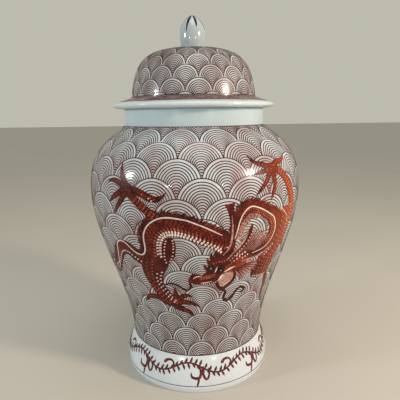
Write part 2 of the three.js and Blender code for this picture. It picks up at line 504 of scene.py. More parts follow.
def map_rows(shape, surface, first_row, row_height, turn, pitch):
    """A UV map whose units are one fan across and one row up. Painted is 1 on the outside, 0 within."""
    layer = shape.loops.layers.uv.new("rows")
    painted = shape.verts.layers.float.new("painted")
    angles = {vert: math.degrees(math.atan2(vert.co.x, -vert.co.y)) for vert in shape.verts}
    rows = {level: (surface.length_at(level) - first_row) / row_height
            for level in {round(vert.co.z, 3) for vert in shape.verts}}
    for face in shape.faces:
        centre = face.calc_center_median()
        middle = math.degrees(math.atan2(centre.x, -centre.y))
        outside = face.normal.x * centre.x + face.normal.y * centre.y > 0
        for loop in face.loops:
            if outside:
                loop.vert[painted] = 1.0
            angle = angles[loop.vert]
            angle += 360 * round((middle - angle) / 360)
            loop[layer].uv = ((angle - turn) / pitch + FANS, rows[round(loop.vert.co.z, 3)])


class Surface:
    """The outside of a turned section. A place on it is an angle round the axis, a length along its outline
    and a lift."""

    STEPS = 160
    LEVEL_ALIKE = 1e-9

    def __init__(self, bends):
        self.line = []
        for bend in bends:
            corners = [Vector((point[0], point[1], 0)) for point in bend]
            self.line += interpolate_bezier(*corners, self.STEPS) if len(corners) == 4 else corners
        self.lengths = [0.0]
        for first, second in zip(self.line, self.line[1:]):
            self.lengths.append(self.lengths[-1] + (second - first).length)
        self.end = self.lengths[-1]
        self.levels = [point.y for point in self.line]

    def at(self, along):
        """Radius and level, and the outward direction, a length along the outline."""
        place = min(max(bisect.bisect_right(self.lengths, along) - 1, 0), len(self.line) - 2)
        while self.lengths[place + 1] - self.lengths[place] < self.LEVEL_ALIKE and place > 0:
            place -= 1
        first, second = self.line[place], self.line[place + 1]
        step = second - first
        share = (along - self.lengths[place]) / step.length
        spot = first + step * share
        out = Vector((step.y, -step.x, 0)).normalized()
        return spot, out

    def length_at(self, level):
        """The length along the outline at which it reaches a level."""
        levels = self.levels
        place = min(max(bisect.bisect_left(levels, level) - 1, 0), len(levels) - 2)
        while levels[place + 1] - levels[place] < self.LEVEL_ALIKE and place > 0:
            place -= 1
        share = (level - levels[place]) / (levels[place + 1] - levels[place])
        return between(self.lengths[place], self.lengths[place + 1], share)

    def place(self, angle, along, lift):
        spot, out = self.at(along)
        radius = spot.x + out.x * lift
        around = math.radians(angle)
        return Vector((radius * math.sin(around), -radius * math.cos(around), spot.y + out.y * lift))

    def degrees(self, along):
        """Degrees round the axis for each millimetre across."""
        return math.degrees(1 / max(self.at(along)[0].x, 1.0))


body_side = Surface((LOWER_BODY, UPPER_BODY))
foot_side = Surface((FOOT_FLARE,))
dome_side = Surface((DOME,))
bud_side = Surface((BUD_LOWER, BUD_UPPER))
brim_side = Surface(((BRIM_TOP_EDGE, (dome_radius, dome_foot)),))

FANS = 16
PITCH = 360 / FANS
HALF_PITCH = PITCH / 2


def inward(bend, wall):
    """The same bend on the inside of a wall."""
    return tuple((radius - wall, level) for radius, level in bend)


def straight(*points):
    """Straight bends from each point to the next."""
    return tuple(zip(points, points[1:]))


def rounded(start, corner, end, short):
    """One bend that rounds a corner off; its handles stop a share of each side short of it."""
    handles = [tuple(between(sharp, soft, short) for sharp, soft in zip(corner, point))
               for point in (start, end)]
    return ((start, *handles, end),)


def build_foot_wall():
    under = (straight((0, RECESS), (RIM_INSIDE - RECESS_SLOPE, RECESS), (RIM_INSIDE, RIM_SOFT))
             + rounded((RIM_INSIDE, RIM_SOFT), (RIM_INSIDE, 0), (RIM_INSIDE + RIM_SOFT, 0), 0.4)
             + straight((RIM_INSIDE + RIM_SOFT, 0), RIM_ROLL[0]))
    bowl_side, bowl_floor = (WAIST_BORE, FLOOR + FLOOR_FILLET), (WAIST_BORE - FLOOR_FILLET, FLOOR)
    bowl = (straight((WAIST_RADIUS, waist), (WAIST_BORE, waist), bowl_side)
            + rounded(bowl_side, (WAIST_BORE, FLOOR), bowl_floor, 0.45) + straight(bowl_floor, (0, FLOOR)))
    shape = turned("jar_foot_wall", under + (RIM_ROLL, FOOT_LIP_ROLL, FOOT_FLARE) + bowl, closed=False)
    finish_piece("jar_foot_wall", shape, materials["foot_glaze"], "jar", ["jar_foot"])


def build_jar_wall():
    inside = inward(UPPER_BODY, WALL)[::-1], inward(LOWER_BODY, WALL)[::-1]
    wall = ((LOWER_BODY, UPPER_BODY) + straight((neck_radius, neck_root), (NECK_BORE, neck_root)) + inside
            + straight((WAIST_BORE, waist), (WAIST_RADIUS, waist)))
    shape = turned("jar_wall", wall)
    map_rows(shape, body_side, first_top, row_height, FIRST_TURN, PITCH)
    finish_piece("jar_wall", shape, materials["wave_glaze"], "jar",
                 ["jar_lower_body", "jar_upper_body"])


def build_neck_wall():
    side, top = neck_rim - NECK_SOFT, (neck_radius - NECK_SOFT, neck_rim)
    inner_top = (NECK_BORE + NECK_SOFT, neck_rim)
    neck = (straight((neck_radius, neck_root), (neck_radius, side))
            + rounded((neck_radius, side), (neck_radius, neck_rim), top, 0.375) + straight(top, inner_top)
            + rounded(inner_top, (NECK_BORE, neck_rim), (NECK_BORE, side), 0.375)
            + straight((NECK_BORE, side), (NECK_BORE, neck_root), (neck_radius, neck_root)))
    shape = turned("jar_neck_wall", neck)
    finish_piece("jar_neck_wall", shape, materials["neck_glaze"], "jar", ["jar_neck"])


def build_brim_wall():
    brim = (straight((BRIM_BORE, brim_seat), (BRIM_SEAT_EDGE, brim_seat), BRIM_UNDER_EDGE)
            + (BRIM_ROLL_LOW, BRIM_ROLL_HIGH)
            + straight(BRIM_TOP_EDGE, (dome_radius, dome_foot), (BRIM_BORE, dome_foot),
                       (BRIM_BORE, brim_seat)))
    shape = turned("lid_brim_wall", brim)
    finish_piece("lid_brim_wall", shape, materials["brim_glaze"], "lid", ["lid_brim"])


def build_ring_wall():
    side, inner_end, outer_end = ring_end + RING_SOFT, RING_BORE + RING_SOFT, ring_radius - RING_SOFT
    ring = (straight((RING_BORE, brim_seat), (RING_BORE, side))
            + rounded((RING_BORE, side), (RING_BORE, ring_end), (inner_end, ring_end), 1 / 3)
            + straight((inner_end, ring_end), (outer_end, ring_end))
            + rounded((outer_end, ring_end), (ring_radius, ring_end), (ring_radius, side), 1 / 3)
            + straight((ring_radius, side), (ring_radius, brim_seat), (RING_BORE, brim_seat)))
    shape = turned("lid_ring_wall", ring)
    finish_piece("lid_ring_wall", shape, materials["bare_porcelain"], "lid",
                 ["lid_locating_ring"])


def build_dome_wall():
    dome = ((DOME_HOLLOW,) + straight((DOME_BORE, dome_foot), (dome_radius, dome_foot)) + (DOME,)
            + straight((BUD_SEAT_RADIUS, crown), (0, crown)))
    shape = turned("lid_dome_wall", dome, closed=False)
    map_rows(shape, dome_side, dome_first_top, dome_row_height, DOME_TURN, PITCH)
    finish_piece("lid_dome_wall", shape, materials["dome_glaze"], "lid", ["lid_dome"])


def build_bud():
    bud = straight((0, bud_seat), (BUD_SEAT_RADIUS, bud_seat)) + (BUD_LOWER, BUD_UPPER)
    shape = turned("lid_finial_bud", bud, closed=False)
    finish_piece("lid_finial_bud", shape, materials["finial_glaze"], "lid", ["finial"])


# ---------------------------------------------------------------- waves
FIRST_TURN = 3.0
DOME_TURN = 4.5
LOW_MARGIN = 0.5
HIGH_MARGIN = 0.4
OVERLAP = 1.03
LINE_LIFT = 0.1
LINE_KEEL = 0.35
SHORTEST_LINE = 1.2
# Turns in radians: the widest step along an arch, and what is left off at its feet.
WIDEST_STEP = 0.4
FOOT_TURN = 0.1
# Shares of a fan's half width: how far an arch reaches under the fans below, and how finely that is sought.
TUCK = 0.04
SETTLE = 0.01

first_top = body_side.length_at(66)
last_top = body_side.length_at(320)
row_height = (last_top - first_top) / 13
dome_first_top = dome_side.length_at(375)
dome_row_height = 15.2


class FanRow:
    """One row of fans, their tops level: ovals as wide as the pitch, at least as tall as a row."""

    def __init__(self, surface, top, turn, rise):
        self.top = top
        self.turn = turn
        level = top
        for _ in range(6):
            self.radius = math.radians(HALF_PITCH) * surface.at(min(max(level, 0), surface.end))[0].x
            self.stretch = max(1.0, OVERLAP * rise / self.radius)
            level = top - self.radius * self.stretch
        self.centre = level

    def hides(self, angle, along):
        aside = (angle - self.turn + HALF_PITCH) % PITCH - HALF_PITCH
        return (aside / HALF_PITCH) ** 2 + ((along - self.centre) / self.radius / self.stretch) ** 2 < 1


def shown_spans(test, start, end, steps=72):
    """The stretches of a turn, from start to end, at which test holds, each end found by halving."""
    spans = []
    turns = [between(start, end, place / steps) for place in range(steps + 1)]
    shown = [test(turn) for turn in turns]
    opened = turns[0] if shown[0] else None
    for place in range(steps):
        if shown[place] == shown[place + 1]:
            continue
        low, high = turns[place], turns[place + 1]
        for _ in range(8):
            middle = (low + high) / 2
            if test(middle) == shown[place]:
                low = middle
            else:
                high = middle
        if opened is None:
            opened = high
        else:
            spans.append((opened, low))
            opened = None
    if opened is not None:
        spans.append((opened, turns[-1]))
    return spans


def painted_arc(shape, level, radius, start, end, width, longest):
    """A closed ribbon with a flat top and a keel in the glaze, spun from its three-cornered end."""
    corners = [shape.verts.new((radius + offset, 0, lift)) for offset, lift in
               ((-width / 2, LINE_LIFT), (width / 2, LINE_LIFT), (0, -LINE_KEEL))]
    section = shape.faces.new(corners)
    bmesh.ops.rotate(shape, verts=corners, cent=(0, 0, 0), matrix=Matrix.Rotation(start, 3, "Z"))
    bmesh.ops.translate(shape, verts=corners, vec=(0, level, 0))
    steps = max(2, math.ceil(radius * (end - start) / longest), math.ceil((end - start) / WIDEST_STEP))
    bmesh.ops.spin(shape, geom=corners + list(section.edges) + [section], axis=(0, 0, 1),
                   cent=(0, level, 0), angle=end - start, steps=steps)


def paint_fans(name, surface, rows, body, band, spacing, width, longest):
    """The arches of every row of fans, one piece for a row, cut where the fans below lie over them.

    Band is the gap under the outermost arch and spacing the gap under the others. Each arch is centred low
    enough in its fan for both its feet to run in under the fans below.
    """
    low, high = LOW_MARGIN, surface.end - HIGH_MARGIN
    for number, row in enumerate(rows[1:], 1):
        below = rows[max(number - 2, 0):number]
        shape = bmesh.new()
        scale = HALF_PITCH / row.radius
        tall = row.radius * row.stretch
        drop = (row.top - rows[number - 1].top) / tall

        def tail_width(level):
            rise = abs(level + drop)
            return 1 - math.sqrt(1 - rise * rise) if rise < 1 else 1.0

        tip = 1.0
        while tip > max(-drop, 1 - 2 * drop):
            level = 0.0
            while tip - level < tail_width(level) + TUCK and level > -drop:
                level -= SETTLE
            radius = (tip - level) * row.radius

            def shown(turn):
                angle = row.turn + math.cos(turn) * radius * scale
                along = row.centre + level * tall + math.sin(turn) * radius * row.stretch
                return low < along < high and not any(lower.hides(angle, along) for lower in below)

            for start, end in shown_spans(shown, FOOT_TURN, math.pi - FOOT_TURN):
                if (end - start) * radius > SHORTEST_LINE:
                    painted_arc(shape, level * row.radius, radius, start, end, width, longest)
            tip -= (band if tip == 1.0 else spacing) / tall
        if not shape.faces:
            shape.free()
            continue
        for vert in shape.verts:
            angle = row.turn + vert.co.x * scale
            vert.co = surface.place(angle, row.centre + vert.co.y * row.stretch, vert.co.z)
        face_outward(shape)
        repeat_round(shape, FANS)
        finish_piece(f"{name}_{number:02d}", shape, materials["wave_line"], body)


def fan_rows(surface, first, rise, turn, numbers):
    """Rows of fans upward from the first, every other row turned by half a fan."""
    return [FanRow(surface, first + number * rise, turn - (number % 2) * HALF_PITCH, rise)
            for number in numbers]


def build_waves():
    rows = fan_rows(body_side, first_top, row_height, FIRST_TURN, range(-1, 16))
    paint_fans("jar_waves", body_side, rows, "jar", band=3.7, spacing=2.95, width=1.1, longest=3.2)
    rows = fan_rows(dome_side, dome_first_top, dome_row_height, DOME_TURN, range(-2, 5))
    paint_fans("dome_waves", dome_side, rows, "lid", band=3.0, spacing=2.35, width=0.95, longest=2.0)


# ---------------------------------------------------------------- brush strokes
BURIED = 0.5
PATH_PARTS = 12
NEARBY = 0.02
STROKE_WELD = 0.02


class Path:
    """A smooth line over a surface through points of angle, level and any widths."""

    def __init__(self, surface, points):
        marks = [(point[0], surface.length_at(point[1])) + tuple(point[2:]) for point in points]
        self.surface = surface
        self.spots = []
        for place in range(len(marks) - 1):
            last = min(place + 2, len(marks) - 1)
            near = [marks[max(place - 1, 0)], marks[place], marks[place + 1], marks[last]]
            for part in range(PATH_PARTS):
                self.spots.append(self.curved(near, part / PATH_PARTS))
        self.spots.append(marks[-1])
        self.lengths = [0.0]
        for first, second in zip(self.spots, self.spots[1:]):
            across = (second[0] - first[0]) / surface.degrees(first[1])
            self.lengths.append(self.lengths[-1] + math.hypot(across, second[1] - first[1]))
        self.total = self.lengths[-1]

    @staticmethod
    def curved(near, share):
        """A point between the middle two of four, on a curve through them all."""
        spot = []
        for before, start, end, after in zip(*near):
            bend = (2 * start + (end - before) * share
                    + (2 * before - 5 * start + 4 * end - after) * share ** 2
                    + (3 * start - before - 3 * end + after) * share ** 3)
            spot.append(bend / 2)
        return spot

    def at(self, share):
        """Angle, length along the outline, heading and widths at a share of the line."""
        want = share * self.total
        place = min(max(bisect.bisect_right(self.lengths, want) - 1, 0), len(self.spots) - 2)
        first, second = self.spots[place], self.spots[place + 1]
        run = max(self.lengths[place + 1] - self.lengths[place], 1e-6)
        part = min(max((want - self.lengths[place]) / run, 0), 1)
        spot = [between(low, high, part) for low, high in zip(first, second)]
        across = (second[0] - first[0]) / self.surface.degrees(first[1])
        heading = Vector((across, second[1] - first[1])).normalized()
        return spot[0], spot[1], heading, spot[2:]


def beside(surface, angle, along, across, up):
    """A place on a surface, millimetres across and up from another."""
    return angle + across * surface.degrees(along), along + up


def kept_on(surface, along):
    """A length along the outline, held just inside its two ends."""
    return min(max(along, 0.3), surface.end - 0.2)


def sheet(shape, surface, columns, rows, spot, lift, swell):
    """A grid laid on a surface. Spot turns a share along and a side, -1 to 1, into a place."""
    grid = bmesh.ops.create_grid(shape, x_segments=columns, y_segments=rows, size=0.5)
    for vert in grid["verts"]:
        share, side = vert.co.x + 0.5, vert.co.y * 2
        angle, along = spot(share, side)
        vert.co = surface.place(angle, kept_on(surface, along), lift + swell * (1 - side * side))


def stroke(shape, surface, points, lift=0.2, swell=0.12, rows=2, step=2.6, broad=1.0):
    """A brush stroke: a smooth line through points of angle, level and width."""
    path = Path(surface, points)

    def spot(share, side):
        angle, along, heading, widths = path.at(share)
        half = widths[0] * broad / 2 * side
        return beside(surface, angle, along, -heading.y * half, heading.x * half)

    sheet(shape, surface, max(3, math.ceil(path.total / step)), rows, spot, lift, swell)
    return path


def panel(shape, surface, pairs, lift=0.16, swell=0.15, rows=6, step=2.8):
    """A filled area between two smooth edges, given as rows of left angle and level, right angle and level.

    Returns a function that gives a place in it and the heading there, and the longer edge's length.
    """
    left = Path(surface, [pair[:2] for pair in pairs])
    right = Path(surface, [pair[2:] for pair in pairs])

    def within(share, part):
        spots = [path.spots[min(round(share * PATH_PARTS * (len(pairs) - 1)), len(path.spots) - 1)]
                 for path in (left, right)]
        return [between(first, second, part) for first, second in zip(*spots)]

    def inside(share, part):
        angle, along = within(share, part)
        later, earlier = within(min(share + NEARBY, 1), part), within(max(share - NEARBY, 0), part)
        across = (later[0] - earlier[0]) / surface.degrees(along)
        return angle, along, Vector((across, later[1] - earlier[1])).normalized()

    longest = max(left.total, right.total)
    sheet(shape, surface, max(4, math.ceil(longest / step)), rows,
          lambda share, side: within(share, (side + 1) / 2), lift, swell)
    return inside, longest


def dab(shape, surface, angle, along, heading, length, width, lift=0.45, tip=0.45, sides=8):
    """A closed drop of enamel: a short cone whose foot is in the glaze, drawn out along its heading."""
    drop = bmesh.ops.create_cone(shape, cap_ends=True, segments=sides, radius1=0.5, radius2=0.36, depth=1)
    for vert in drop["verts"]:
        onward, aside = vert.co.x * length, vert.co.y * width
        aside *= 1 - tip * (vert.co.x + 0.5)
        height = lift if vert.co.z > 0 else -BURIED
        place = beside(surface, angle, along, heading.x * onward - heading.y * aside,
                       heading.y * onward + heading.x * aside)
        vert.co = surface.place(place[0], kept_on(surface, place[1]), height)


def thicken(shape):
    """Strokes and panels get a back, sunk in the glaze, and their pointed ends close."""
    bmesh.ops.remove_doubles(shape, verts=shape.verts, dist=STROKE_WELD)
    bmesh.ops.dissolve_degenerate(shape, edges=shape.edges, dist=STROKE_WELD / 2)
    fronts = shape.faces[:]
    level_ways = [face.normal.dot(face.calc_center_median() * Vector((1, 1, 0))) for face in fronts]
    if sum(1 if way > 0 else -1 for way in level_ways) < 0:
        bmesh.ops.reverse_faces(shape, faces=fronts)
    backs = bmesh.ops.extrude_face_region(shape, geom=fronts, use_keep_orig=True)
    for vert in [part for part in backs["geom"] if isinstance(part, bmesh.types.BMVert)]:
        vert.co -= Vector((vert.co.x, vert.co.y, 0)).normalized() * BURIED
    face_outward(shape)


def lay(name, shape, finish, body="jar", times=1):
    """An enamel piece is repeated round the axis, if it is, and finished."""
    if times > 1:
        repeat_round(shape, times)
    return finish_piece(name, shape, materials[finish], body, sharp=50)


def painted_ring(name, surface, along, width, finish, body, lift=0.12):
    """A painted line, or a band, all the way round."""
    shape = bmesh.new()
    parts = max(1, round(width / 3))
    grid = bmesh.ops.create_grid(shape, x_segments=SIDES // WEDGES, y_segments=parts, size=0.5)
    for vert in grid["verts"]:
        vert.co = surface.place(vert.co.x * 360 / WEDGES, along + vert.co.y * width, lift)
    repeat_round(shape, WEDGES)
    bmesh.ops.remove_doubles(shape, verts=shape.verts, dist=STROKE_WELD / 2)
    thicken(shape)
    lay(name, shape, finish, body)


# ---------------------------------------------------------------- foot, brim and bud
VINES = 8
VINE_MIDDLE = 32
VINE_WAVE = 6
LEAF_STEP = 3.7
# Each ring on the brim: its name, how far it lies from the dome, its width, finish and lift.
BRIM_RINGS = (
    ("brim_inner_line", 0.9, 1.0, "wave_line", 0.16), ("brim_wash_band", 8.6, 13.2, "brim_wash", 0.1),
    ("brim_outer_line", 15.6, 0.9, "wave_line", 0.16),
)
DASHES = 88
BUD_CREASES = ((-27, 433.5, 2.4), (19, 439, 2.2), (74, 437, 2.0), (-84, 436.5, 2.2), (128, 435, 2.3),
               (-142, 438, 2.1))
VINE_CURLS = (
    ((-18, 31, 1.2), (-18.5, 34, 1.6), (-19.2, 37, 1.6), (-21, 39, 1.8), (-24, 38.5, 2.2), (-26, 36, 2.8),
     (-26.6, 34.6, 1.0)),
    ((1, 35, 1.4), (2, 30, 1.8), (2, 25, 2.2), (1, 21, 2.6), (-2, 20.5, 2.4), (-4.5, 22.5, 2.0),
     (-5, 27, 0.8)),
    ((0.8, 21, 1.6), (0.3, 16, 1.8), (-0.5, 10.5, 1.2)),
    ((4, 34, 1.2), (3.6, 28, 2.2), (4.6, 22, 2.2), (6.3, 18.5, 1.6), (7.8, 22, 1.8), (8.4, 27, 1.6),
     (8, 32, 1.0)),
)


def vine_level(angle):
    """The height of the wavy stem."""
    return VINE_MIDDLE + VINE_WAVE * math.cos(math.radians(VINES * (angle + 7)))


def build_foot_painting():
    shape = bmesh.new()
    stem = [(angle, vine_level(angle), 1.5) for angle in range(-23, 24, 2)]
    stroke(shape, foot_side, stem, rows=2, step=2.0, broad=1.3)
    for curl in VINE_CURLS:
        stroke(shape, foot_side, curl, rows=2, step=1.6, broad=1.35)
    for number in range(int(360 / VINES / LEAF_STEP)):
        for side in (-1, 1):
            start = (number + 0.25 * side) * LEAF_STEP - 22 + random.uniform(-0.3, 0.3)
            low, tall = vine_level(start), side * random.uniform(5.0, 6.8)
            leaf = ((start, low, 0.7), (start + 1.3, low + tall * 0.5, 2.3), (start + 2.0, low + tall, 0.5))
            stroke(shape, foot_side, leaf, rows=2, step=1.6, lift=0.24, broad=1.25)
    thicken(shape)
    lay("foot_vine", shape, "vine_red", times=VINES)
    low = foot_side.length_at(10.0)
    painted_ring("foot_line_low", foot_side, low, 0.8, "wave_line", "jar")
    painted_ring("foot_line_high", body_side, 0.9, 1.1, "wave_line", "jar")
    painted_ring("shoulder_line", body_side, body_side.end - 0.9, 1.2, "wave_line", "jar")


def build_brim_painting():
    along = brim_side.end
    for name, down, width, finish, lift in BRIM_RINGS:
        painted_ring(name, brim_side, along - down, width, finish, "lid", lift)
    shape = bmesh.new()
    for number in range(DASHES):
        angle = number * 360 / DASHES + random.uniform(-0.8, 0.8)
        place = along - 12.6 + random.uniform(-0.7, 0.7)
        heading = Vector((1, random.uniform(-0.35, 0.35))).normalized()
        length = random.uniform(2.6, 5.4)
        dab(shape, brim_side, angle, place, heading, length, random.uniform(1.2, 2.4), lift=0.22)
    lay("brim_dashes", shape, "wave_line", "lid")
    painted_ring("dome_line_low", dome_side, 0.9, 1.0, "wave_line", "lid")
    shape = bmesh.new()
    for angle, end, width in BUD_CREASES:
        points = ((angle * 0.9, 453.6, 0.9), (angle, 449, width), (angle * 1.02, 443, width * 0.75),
                  (angle * 1.03, end, 0.4))
        stroke(shape, bud_side, points, lift=0.16, swell=0.08, rows=2, step=1.2, broad=1.4)
    thicken(shape)
    lay("finial_strokes", shape, "ink_stroke", "lid")


# ---------------------------------------------------------------- dragon
ARCH = (
    (-28.6, 181, -16.4, 181), (-27.4, 190, -16.9, 188), (-27.2, 200, -16.6, 195), (-27, 210, -16, 201),
    (-25.2, 220, -14.6, 206.6), (-21.6, 228.4, -12.8, 209.4), (-16.6, 233.2, -10.8, 210.4),
    (-11.6, 234, -8.4, 209.8), (-7, 232.8, -5.8, 208.2), (-3, 230.8, -2.8, 205.8), (1, 227, 0.4, 202.8),
    (5.2, 222.8, 3.8, 199), (9.4, 217.8, 7, 195.6), (13.6, 212, 10, 192), (17.6, 207, 12.4, 188),
    (19.6, 202, 14.4, 183),
)
PIPING = (
    (-57, 154, 0.9), (-54.5, 160, 1.1), (-52, 162.5, 1.2), (-50, 167.5, 1.2), (-49, 172.5, 1.2),
    (-47.5, 180, 1.3), (-46, 190, 1.3), (-44, 195, 1.3), (-41, 197, 1.4), (-38, 195, 1.4), (-34, 188, 1.4),
    (-32, 185.5, 1.5), (-30, 184.3, 1.6), (-28, 185, 1.7), (-26.5, 188.5, 1.7), (-25.8, 195, 1.6),
    (-25.7, 205, 1.5), (-25, 212, 1.5), (-23, 220, 1.5), (-20, 226, 1.5), (-16, 230.3, 1.6),
    (-12, 231.2, 1.6), (-8, 230.2, 1.5), (-4, 228.5, 1.5), (0, 224.8, 1.4), (4, 220.8, 1.4), (8, 216, 1.3),
    (12.4, 210.4, 0.7),
)
TAIL = (
    (-25, 178, 13), (-29, 178.5, 15), (-33, 183, 15), (-37.5, 188.5, 15), (-42, 188.5, 15), (-46, 182, 14),
    (-49.5, 172, 13.5), (-53, 163, 12), (-56.5, 154.5, 8), (-58.6, 147, 1),
)
THIGH = (
    (-27.5, 188, -15.2, 187), (-29.4, 178, -14.2, 180), (-30.8, 170, -14.6, 173), (-31, 162, -16.6, 166),
    (-30.4, 154, -18.6, 158), (-28.8, 146, -19.2, 150), (-27.4, 139, -17.6, 143),
    (-25.6, 132.5, -15.6, 136), (-22.6, 126, -13.8, 130), (-19, 120, -11, 124), (-15, 115.5, -9.6, 118),
)
FINGER = (
    (-12.8, 208.8, -11.2, 208.8), (-14.8, 206, -10.2, 205.6), (-16.2, 201, -9.6, 200),
    (-16.9, 195, -9.8, 194), (-17.2, 188, -10.4, 187), (-16.8, 181, -12, 181), (-15.6, 176, -13.4, 177),
)
FOOT_TALONS = (
    ((-16, 120, 8), (-21, 124.5, 7.5), (-26.5, 128, 6), (-31, 127, 5), (-34, 122, 3.4), (-36.6, 116, 0.5)),
    ((-15, 122, 7), (-13.2, 130, 6.5), (-12.6, 137.5, 4), (-13.4, 144, 0.5)),
    ((-13.5, 124, 6.5), (-9.5, 131, 5.6), (-5.6, 134.2, 4), (-2.3, 131.6, 0.5)),
    ((-13.5, 121, 6.5), (-8.5, 124.6, 6), (-4, 123.4, 4.6), (-0.4, 120.4, 3), (2.2, 116.6, 0.5)),
    ((-14.5, 118, 7), (-9.5, 114.2, 6), (-5.8, 110.6, 4.6), (-3.4, 107, 3), (-1.7, 103, 0.5)),
)
LEFT_PAW = (
    ((-36, 257, 6), (-32.5, 258, 11), (-28.5, 257.5, 6)),
    ((-33, 261, 6.5), (-35.4, 269, 5.4), (-37, 277, 3.6), (-38, 286, 0.5)),
    ((-34.6, 261, 6), (-38.8, 265.4, 5.2), (-42.6, 266.6, 3.8), (-45.6, 264.4, 0.5)),
    ((-35, 257.4, 6), (-39, 252.2, 5.2), (-42.2, 247.8, 4), (-44.8, 242.6, 0.5)),
    ((-33.6, 255, 5.6), (-36, 247.6, 5.2), (-38.4, 240, 4), (-41.2, 230.6, 0.5)),
    ((-29.6, 258.6, 7), (-25.2, 255.4, 6.4), (-21, 251.4, 6.4), (-17.4, 250, 5), (-14.6, 253.2, 2.6),
     (-12.8, 257.6, 0.5)),
    ((-32, 256, 8), (-29.4, 250.4, 7.2), (-26.8, 245, 7), (-24.2, 240.4, 7), (-21.6, 235.4, 7.6),
     (-18.6, 231, 8), (-15, 228, 7)),
)
RIGHT_PAW = (
    ((35.6, 277, 6), (39, 276.4, 11), (43, 275.4, 7)),
    ((37.5, 279, 6), (34.2, 281.8, 5.2), (30.8, 283.8, 4), (28.4, 287.8, 2.4), (26.8, 292, 0.5)),
    ((41, 279, 6), (45.4, 283, 5.2), (49.2, 284, 4), (52.2, 285.8, 2.4), (54.4, 289.4, 0.5)),
    ((37.4, 275.8, 5), (34, 274.6, 4), (31, 273.6, 3), (27.8, 272.2, 0.5)),
    ((38, 273, 5.6), (36.4, 267.6, 5), (34.2, 261.6, 4), (31.4, 255.6, 3), (28.8, 250.6, 0.5)),
    ((40, 272, 5.6), (41, 264.6, 5), (40.6, 256.8, 4), (39.3, 249.6, 3), (37.8, 242.6, 0.5)),
    ((40, 277, 7), (44.5, 274.4, 7.4), (48.2, 268.6, 8), (51.4, 261, 9), (53.8, 252, 10), (55.6, 243, 11),
     (57, 233, 12), (57.4, 222, 13), (56.6, 212, 14)),
)
LOOP = (
    (16.8, 204, 21.4, 204), (17, 216, 22, 214), (18, 229, 23.4, 222), (20.6, 240.4, 25.6, 228.6),
    (25, 245.8, 28, 231), (30, 243.6, 31, 228.4), (35, 238.2, 34, 224.4), (40.4, 232.4, 37, 219.6),
    (45, 226, 38.6, 213), (47.8, 216, 38.8, 206), (48, 205, 37.4, 199), (46, 193, 35, 193.4),
    (41, 183, 31, 189), (34, 177, 26, 186.6), (26, 174.6, 20, 184.4),
)
LOOP_PIPING = (
    (18.8, 205, 0.8), (19.6, 214, 1.2), (20.6, 225, 1.3), (22.5, 234, 1.3), (26, 239.5, 1.4),
    (31, 236.5, 1.4), (37, 229, 1.3), (41, 222.5, 1.3), (43, 213, 1.3), (43.4, 205, 1.3), (41.5, 194, 1.2),
    (37, 187, 1.1), (30, 183.6, 0.7),
)
FLANK = (
    (47.4, 232, 59, 232), (47, 220, 58.6, 219), (46, 208, 58, 207), (43.5, 196, 57.4, 196),
    (40, 186, 55, 185), (36, 176, 51, 175), (33, 166, 49.4, 165), (32.6, 157, 48.6, 155),
    (34, 148.6, 46.6, 146.4),
)
SNOUT = (
    (-3.8, 159, -3.4, 152.6), (-2.4, 163.6, -1.2, 150), (0.6, 163.6, 1.6, 149.2), (3, 162.4, 4.2, 149.2),
    (5.4, 166, 7, 148.4), (7.2, 172, 10, 150.2), (8.6, 178.6, 12.6, 155.4), (10.6, 186, 15.8, 163),
    (13, 194, 20, 171), (15.4, 202, 22, 180),
)
BROW_TUFTS = (
    ((9, 172, 6.5), (6.8, 177.5, 5), (5.4, 183.6, 0.5)), ((10, 176, 6.5), (8, 183, 5), (7.2, 190.4, 0.5)),
    ((12, 178, 7), (10.4, 186.6, 6), (9.6, 196, 0.5)), ((6.6, 168, 5.4), (5, 171.6, 4), (3.8, 176.4, 0.5)),
    ((14.6, 180, 7), (14, 190, 6), (13.4, 199, 0.5)),
)
HORN = (
    (12.8, 244, 17.9, 245.4), (14.2, 238.6, 17.4, 240), (15.3, 231, 17.9, 233), (15.9, 222, 18.4, 224),
    (16.1, 213, 18.9, 215), (16, 204, 19.2, 206), (15.4, 195, 19.4, 197), (14, 186, 18.6, 188),
)
EAR = ((14.6, 175, 5), (20, 188, 6.5), (24.4, 199, 7), (26.6, 210, 6), (27.4, 219, 2))
LOOP_LINING = ((20.6, 204, 4), (21.8, 214, 8), (23.6, 223, 8), (27, 229, 6), (31.6, 227, 3))
SNOUT_WASH = ((1.4, 157.2, 1.4), (4.6, 158.8, 4.6), (8, 160.4, 5.4), (10.8, 162.4, 1.6))
FACE_LIGHTS = (
    ((-1.8, 158, 0.5), (0.4, 160.8, 1.3), (3, 160.6, 0.4)),
    ((2.4, 151.8, 0.5), (5.4, 152.2, 1.4), (8.6, 153.6, 0.4)),
    ((9.8, 165, 0.5), (10.4, 168.4, 1.3), (11, 172.4, 0.4)),
    ((15, 164.4, 0.6), (18, 168.2, 2.6), (21, 170.4, 0.4)),
    ((12.4, 154, 0.6), (13.6, 158.6, 2.8), (14.6, 162.4, 0.4)),
)
BROW_LINE = ((8.4, 176), (11, 178.4), (14, 178.6), (17, 182), (18.6, 188))
JAW = (
    (11.4, 155, 2.2), (11.6, 149.5, 2.8), (13, 144.4, 3), (15.2, 142.2, 3), (17.8, 145.4, 3), (20, 149, 3),
    (21.6, 154, 2.8), (21.6, 160, 2.6), (20.2, 165.4, 1.6),
)
MOUTH = (
    (12.2, 153, 13.6, 145.6), (14, 156.6, 15.6, 144.2), (16.4, 160.6, 18, 147.4),
    (18.6, 163.6, 20.4, 152.6), (19.8, 165, 21, 159),
)
CHEEK = (
    (15.4, 172, 14.4, 163.6), (18, 178, 17.2, 163), (21, 181.4, 20.4, 164.6), (24.4, 182, 23.6, 167.6),
    (28, 180, 27.4, 172),
)
